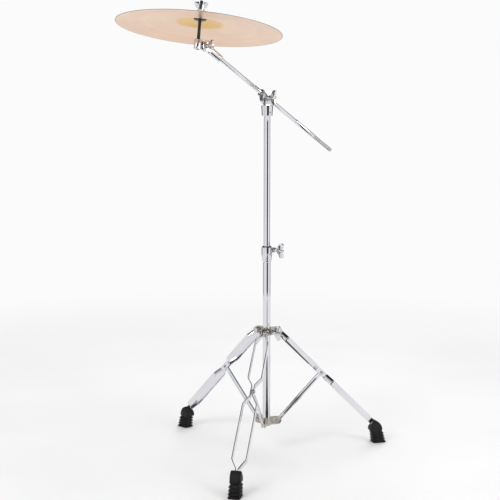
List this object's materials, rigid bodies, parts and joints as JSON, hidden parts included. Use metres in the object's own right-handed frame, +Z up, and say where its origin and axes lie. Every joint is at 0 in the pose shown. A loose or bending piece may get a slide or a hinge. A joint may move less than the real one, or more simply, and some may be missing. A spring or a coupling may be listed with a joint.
{
  "type": "crash cymbal on boom stand",
  "caption": "16 inch bronze crash cymbal on a chrome double-braced boom stand with three folding legs, rubber feet, wing screws and felts.",
  "frame": {"origin": "middle of the whole object's footprint, on the floor", "axes": "+Z up; the boom carries the cymbal towards -X and a little towards -Y, the front"},
  "size_m": [0.6968, 0.574, 1.158],
  "materials": {
    "chrome": "polished",
    "cast_chrome": "polished",
    "hub_metal": "satin",
    "fasteners": "satin",
    "knurled_steel": "satin",
    "black_nylon": "matte",
    "rubber": "matte",
    "bronze": "polished",
    "felt": "matte",
    "black_steel": "satin"
  },
  "bodies": {
    "base": {"base_tube": "chrome", "lower_hub": "hub_metal", "lower_hub_rivets": "fasteners", "height_collar": "cast_chrome", "collar_nut": "fasteners"},
    "collar_screw": {"collar_wing_bolt": "cast_chrome"},
    "bush": {"collar_bush": "black_nylon"},
    "mast": {"mast_tube": "chrome", "mast_socket": "cast_chrome", "mast_pin": "fasteners"},
    "clamp": {"boom_clamp": "cast_chrome", "boom_hinge_bolt": "fasteners", "hinge_washer": "fasteners"},
    "clamp_nut": {"boom_wing_nut": "cast_chrome"},
    "turner": {"boom_bush": "black_nylon"},
    "boom": {"boom_tube": "chrome", "boom_grip_end": "knurled_steel", "tilter_socket": "cast_chrome", "tilter_socket_pin": "fasteners"},
    "tilter": {"tilter_head": "cast_chrome", "tilter_bolt": "fasteners", "stem": "black_steel", "cup_washer": "black_steel", "top_washer": "fasteners"},
    "tilter_nut": {"tilter_wing_nut": "cast_chrome"},
    "spinner": {"stem_sleeve": "black_nylon", "lower_felt": "felt", "upper_felt": "felt"},
    "cymbal_disc": {"cymbal": "bronze"},
    "top_nut": {"cymbal_wing_nut": "cast_chrome"},
    "hub": {"upper_hub": "hub_metal", "hub_bolts": "fasteners", "hub_nuts": "fasteners", "hub_spacers": "fasteners"},
    "hub_screw": {"hub_wing_screw": "cast_chrome"},
    "brace_right": {"brace_right": "chrome"},
    "leg_right": {"leg_right_strip_a": "chrome", "leg_right_strip_b": "chrome", "knee_rivet_right": "fasteners", "foot_right": "rubber"},
    "brace_left": {"brace_left": "chrome"},
    "leg_left": {"leg_left_strip_a": "chrome", "leg_left_strip_b": "chrome", "knee_rivet_left": "fasteners", "foot_left": "rubber"},
    "brace_front": {"brace_front": "chrome"},
    "leg_front": {"leg_front_strip_a": "chrome", "leg_front_strip_b": "chrome", "knee_rivet_front": "fasteners", "foot_front": "rubber"}
  },
  "joints": [
    {"name": "fold", "type": "hinge", "parent": "base", "child": "brace_right", "pos_m": [0.04977, 0.05166, 0.0845], "axis": [-0.274, 0.9617, 0], "range_deg": [-40, 0]},
    {"name": "brace_left_hinge", "type": "hinge", "parent": "base", "child": "brace_left", "pos_m": [-0.00147, 0.06453, 0.0845], "axis": [-0.6959, -0.7181, 0], "range_deg": [-40, 0]},
    {"name": "brace_front_hinge", "type": "hinge", "parent": "base", "child": "brace_front", "pos_m": [0.01301, 0.01372, 0.0845], "axis": [0.9699, -0.2436, 0], "range_deg": [-40, 0]},
    {"name": "leg_right_hinge", "type": "hinge", "parent": "brace_right", "child": "leg_right", "pos_m": [0.16606, 0.08478, 0.20541], "axis": [-0.274, 0.9617, 0], "range_deg": [0, 80]},
    {"name": "leg_left_hinge", "type": "hinge", "parent": "brace_left", "child": "leg_left", "pos_m": [-0.0883, 0.14867, 0.20541], "axis": [-0.6959, -0.7181, 0], "range_deg": [0, 80]},
    {"name": "leg_front_hinge", "type": "hinge", "parent": "brace_front", "child": "leg_front", "pos_m": [-0.01645, -0.10355, 0.20541], "axis": [0.9699, -0.2436, 0], "range_deg": [0, 80]},
    {"name": "hub_hinge", "type": "hinge", "parent": "leg_right", "child": "hub", "pos_m": [0.04977, 0.05166, 0.32633], "axis": [-0.274, 0.9617, 0], "range_deg": [-40, 0]},
    {"name": "hub_screw_turn", "type": "hinge", "parent": "hub", "child": "hub_screw", "pos_m": [0.02044, 0.0433, 0.32633], "axis": [0.7181, -0.6959, 0], "range_deg": [0, 450]},
    {"name": "collar_screw_turn", "type": "hinge", "parent": "base", "child": "collar_screw", "pos_m": [0.0341, 0.0565, 0.53825], "axis": [0.6947, -0.7193, 0], "range_deg": [0, 450]},
    {"name": "mast_turn", "type": "hinge", "parent": "base", "child": "bush", "pos_m": [0.02044, 0.0433, 0.53], "axis": [0, 0, 1], "continuous": true},
    {"name": "mast_height", "type": "slide", "parent": "bush", "child": "mast", "axis": [0, 0, 1], "range_m": [-0.265, 0.09]},
    {"name": "boom_tilt", "type": "hinge", "parent": "mast", "child": "clamp", "pos_m": [0.02044, 0.0433, 0.926], "axis": [0.5, -0.866, 0], "range_deg": [-40, 40]},
    {"name": "clamp_nut_turn", "type": "hinge", "parent": "clamp", "child": "clamp_nut", "pos_m": [0.02044, 0.0433, 0.926], "axis": [0.5, -0.866, 0], "range_deg": [0, 450]},
    {"name": "boom_turn", "type": "hinge", "parent": "clamp", "child": "turner", "pos_m": [0.01484, 0.06085, 0.93167], "axis": [-0.712, -0.4111, 0.5693], "continuous": true},
    {"name": "boom_reach", "type": "slide", "parent": "turner", "child": "boom", "axis": [-0.712, -0.4111, 0.5693], "range_m": [-0.125, 0.15]},
    {"name": "tilter_tilt", "type": "hinge", "parent": "boom", "child": "tilter", "pos_m": [-0.12882, -0.02209, 1.04958], "axis": [0.5309, -0.8457, 0.0533], "range_deg": [-25, 55]},
    {"name": "tilter_nut_turn", "type": "hinge", "parent": "tilter", "child": "tilter_nut", "pos_m": [-0.12882, -0.02209, 1.04958], "axis": [0.5309, -0.8457, 0.0533], "range_deg": [0, 450]},
    {"name": "cymbal_spin", "type": "hinge", "parent": "tilter", "child": "spinner", "pos_m": [-0.1429, -0.02631, 1.12278], "axis": [0.087, 0.117, 0.9893], "continuous": true},
    {"name": "cymbal_rock", "type": "hinge", "parent": "spinner", "child": "cymbal_disc", "pos_m": [-0.14285, -0.02625, 1.12332], "axis": [0.5309, -0.8457, 0.0533], "range_deg": [-8, 8], "stiffness_Nm_per_rad": 3, "deforming": ["lower_felt", "upper_felt"]},
    {"name": "top_nut_turn", "type": "hinge", "parent": "tilter", "child": "top_nut", "pos_m": [-0.14159, -0.02454, 1.13772], "axis": [0.087, 0.117, 0.9893], "range_deg": [0, 720]}
  ],
  "couplings": [
    {"joint": "brace_left_hinge", "follows": "fold", "ratio": 1},
    {"joint": "brace_front_hinge", "follows": "fold", "ratio": 1},
    {"joint": "leg_right_hinge", "follows": "fold", "ratio": -2},
    {"joint": "leg_left_hinge", "follows": "fold", "ratio": -2},
    {"joint": "leg_front_hinge", "follows": "fold", "ratio": -2},
    {"joint": "hub_hinge", "follows": "fold", "ratio": 1}
  ]
}
